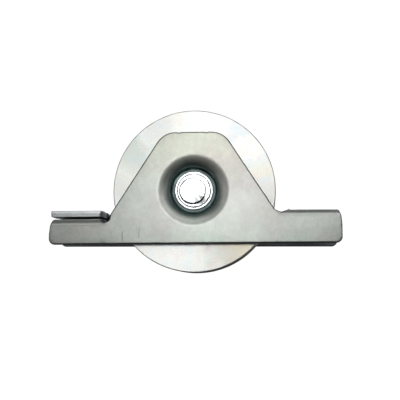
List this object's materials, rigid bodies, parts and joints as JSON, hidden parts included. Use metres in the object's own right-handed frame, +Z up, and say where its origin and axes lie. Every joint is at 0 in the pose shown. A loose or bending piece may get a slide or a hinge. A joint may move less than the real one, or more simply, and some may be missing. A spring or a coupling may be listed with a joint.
{
  "type": "gate wheel",
  "caption": "Grooved steel gate wheel on a sealed ball bearing, riveted between two identical stamped bracket halves with folded wings and a drawn dimple round the axle.",
  "frame": {"origin": "the wheel's centre, on the axle's axis, midway between the two bracket halves", "axes": "+X along the bracket, towards the front half's high flange; +Y along the axle, from the front half to the rear half; +Z up, towards the top of the bracket"},
  "size_m": [0.143, 0.03, 0.08],
  "materials": {
    "zinc_sheet": "satin zinc-plated pressed sheet, finely mottled, slightly green-grey",
    "turned_zinc": "bright zinc over a turned face, circular tool marks, faint rainbow passivation",
    "bright_zinc": "bright zinc on a formed rivet head",
    "ring_steel": "ground bearing steel",
    "ball_steel": "polished bearing steel",
    "cage_steel": "pressed strip steel",
    "seal_rubber": "matt black moulded rubber",
    "spring_steel": "dark oiled spring steel"
  },
  "bodies": {
    "bracket": {"bracket_front_half": "zinc_sheet", "bracket_rear_half": "zinc_sheet", "axle_rivet": "bright_zinc", "bearing_inner_ring": "ring_steel"},
    "wheel": {"wheel": "turned_zinc", "snap_ring": "spring_steel", "bearing_outer_ring": "ring_steel", "bearing_seal_front": "seal_rubber", "bearing_seal_rear": "seal_rubber"},
    "cage": {"cage_front_half": "cage_steel", "cage_rear_half": "cage_steel", "cage_rivet_1": "cage_steel", "cage_rivet_2": "cage_steel", "cage_rivet_3": "cage_steel", "cage_rivet_4": "cage_steel", "cage_rivet_5": "cage_steel", "cage_rivet_6": "cage_steel", "cage_rivet_7": "cage_steel", "cage_rivet_8": "cage_steel"},
    "ball_1": {"ball_1": "ball_steel"},
    "ball_2": {"ball_2": "ball_steel"},
    "ball_3": {"ball_3": "ball_steel"},
    "ball_4": {"ball_4": "ball_steel"},
    "ball_5": {"ball_5": "ball_steel"},
    "ball_6": {"ball_6": "ball_steel"},
    "ball_7": {"ball_7": "ball_steel"},
    "ball_8": {"ball_8": "ball_steel"}
  },
  "joints": [
    {"name": "wheel_spin", "type": "hinge", "parent": "bracket", "child": "wheel", "pos_m": [0, 0, 0], "axis": [0, 1, 0], "continuous": true},
    {"name": "cage_spin", "type": "hinge", "parent": "bracket", "child": "cage", "pos_m": [0, 0, 0], "axis": [0, 1, 0], "continuous": true},
    {"name": "ball_1_spin", "type": "hinge", "parent": "cage", "child": "ball_1", "pos_m": [0.01425, 0, 0], "axis": [0, 1, 0], "continuous": true},
    {"name": "ball_2_spin", "type": "hinge", "parent": "cage", "child": "ball_2", "pos_m": [0.01008, 0, 0.01008], "axis": [0, 1, 0], "continuous": true},
    {"name": "ball_3_spin", "type": "hinge", "parent": "cage", "child": "ball_3", "pos_m": [0, 0, 0.01425], "axis": [0, 1, 0], "continuous": true},
    {"name": "ball_4_spin", "type": "hinge", "parent": "cage", "child": "ball_4", "pos_m": [-0.01008, 0, 0.01008], "axis": [0, 1, 0], "continuous": true},
    {"name": "ball_5_spin", "type": "hinge", "parent": "cage", "child": "ball_5", "pos_m": [-0.01425, 0, 0], "axis": [0, 1, 0], "continuous": true},
    {"name": "ball_6_spin", "type": "hinge", "parent": "cage", "child": "ball_6", "pos_m": [-0.01008, 0, -0.01008], "axis": [0, 1, 0], "continuous": true},
    {"name": "ball_7_spin", "type": "hinge", "parent": "cage", "child": "ball_7", "pos_m": [0, 0, -0.01425], "axis": [0, 1, 0], "continuous": true},
    {"name": "ball_8_spin", "type": "hinge", "parent": "cage", "child": "ball_8", "pos_m": [0.01008, 0, -0.01008], "axis": [0, 1, 0], "continuous": true}
  ],
  "couplings": [
    {"joint": "cage_spin", "follows": "wheel_spin", "ratio": 0.61839},
    {"joint": "ball_1_spin", "follows": "wheel_spin", "ratio": 1.9933},
    {"joint": "ball_2_spin", "follows": "wheel_spin", "ratio": 1.9933},
    {"joint": "ball_3_spin", "follows": "wheel_spin", "ratio": 1.9933},
    {"joint": "ball_4_spin", "follows": "wheel_spin", "ratio": 1.9933},
    {"joint": "ball_5_spin", "follows": "wheel_spin", "ratio": 1.9933},
    {"joint": "ball_6_spin", "follows": "wheel_spin", "ratio": 1.9933},
    {"joint": "ball_7_spin", "follows": "wheel_spin", "ratio": 1.9933},
    {"joint": "ball_8_spin", "follows": "wheel_spin", "ratio": 1.9933}
  ]
}
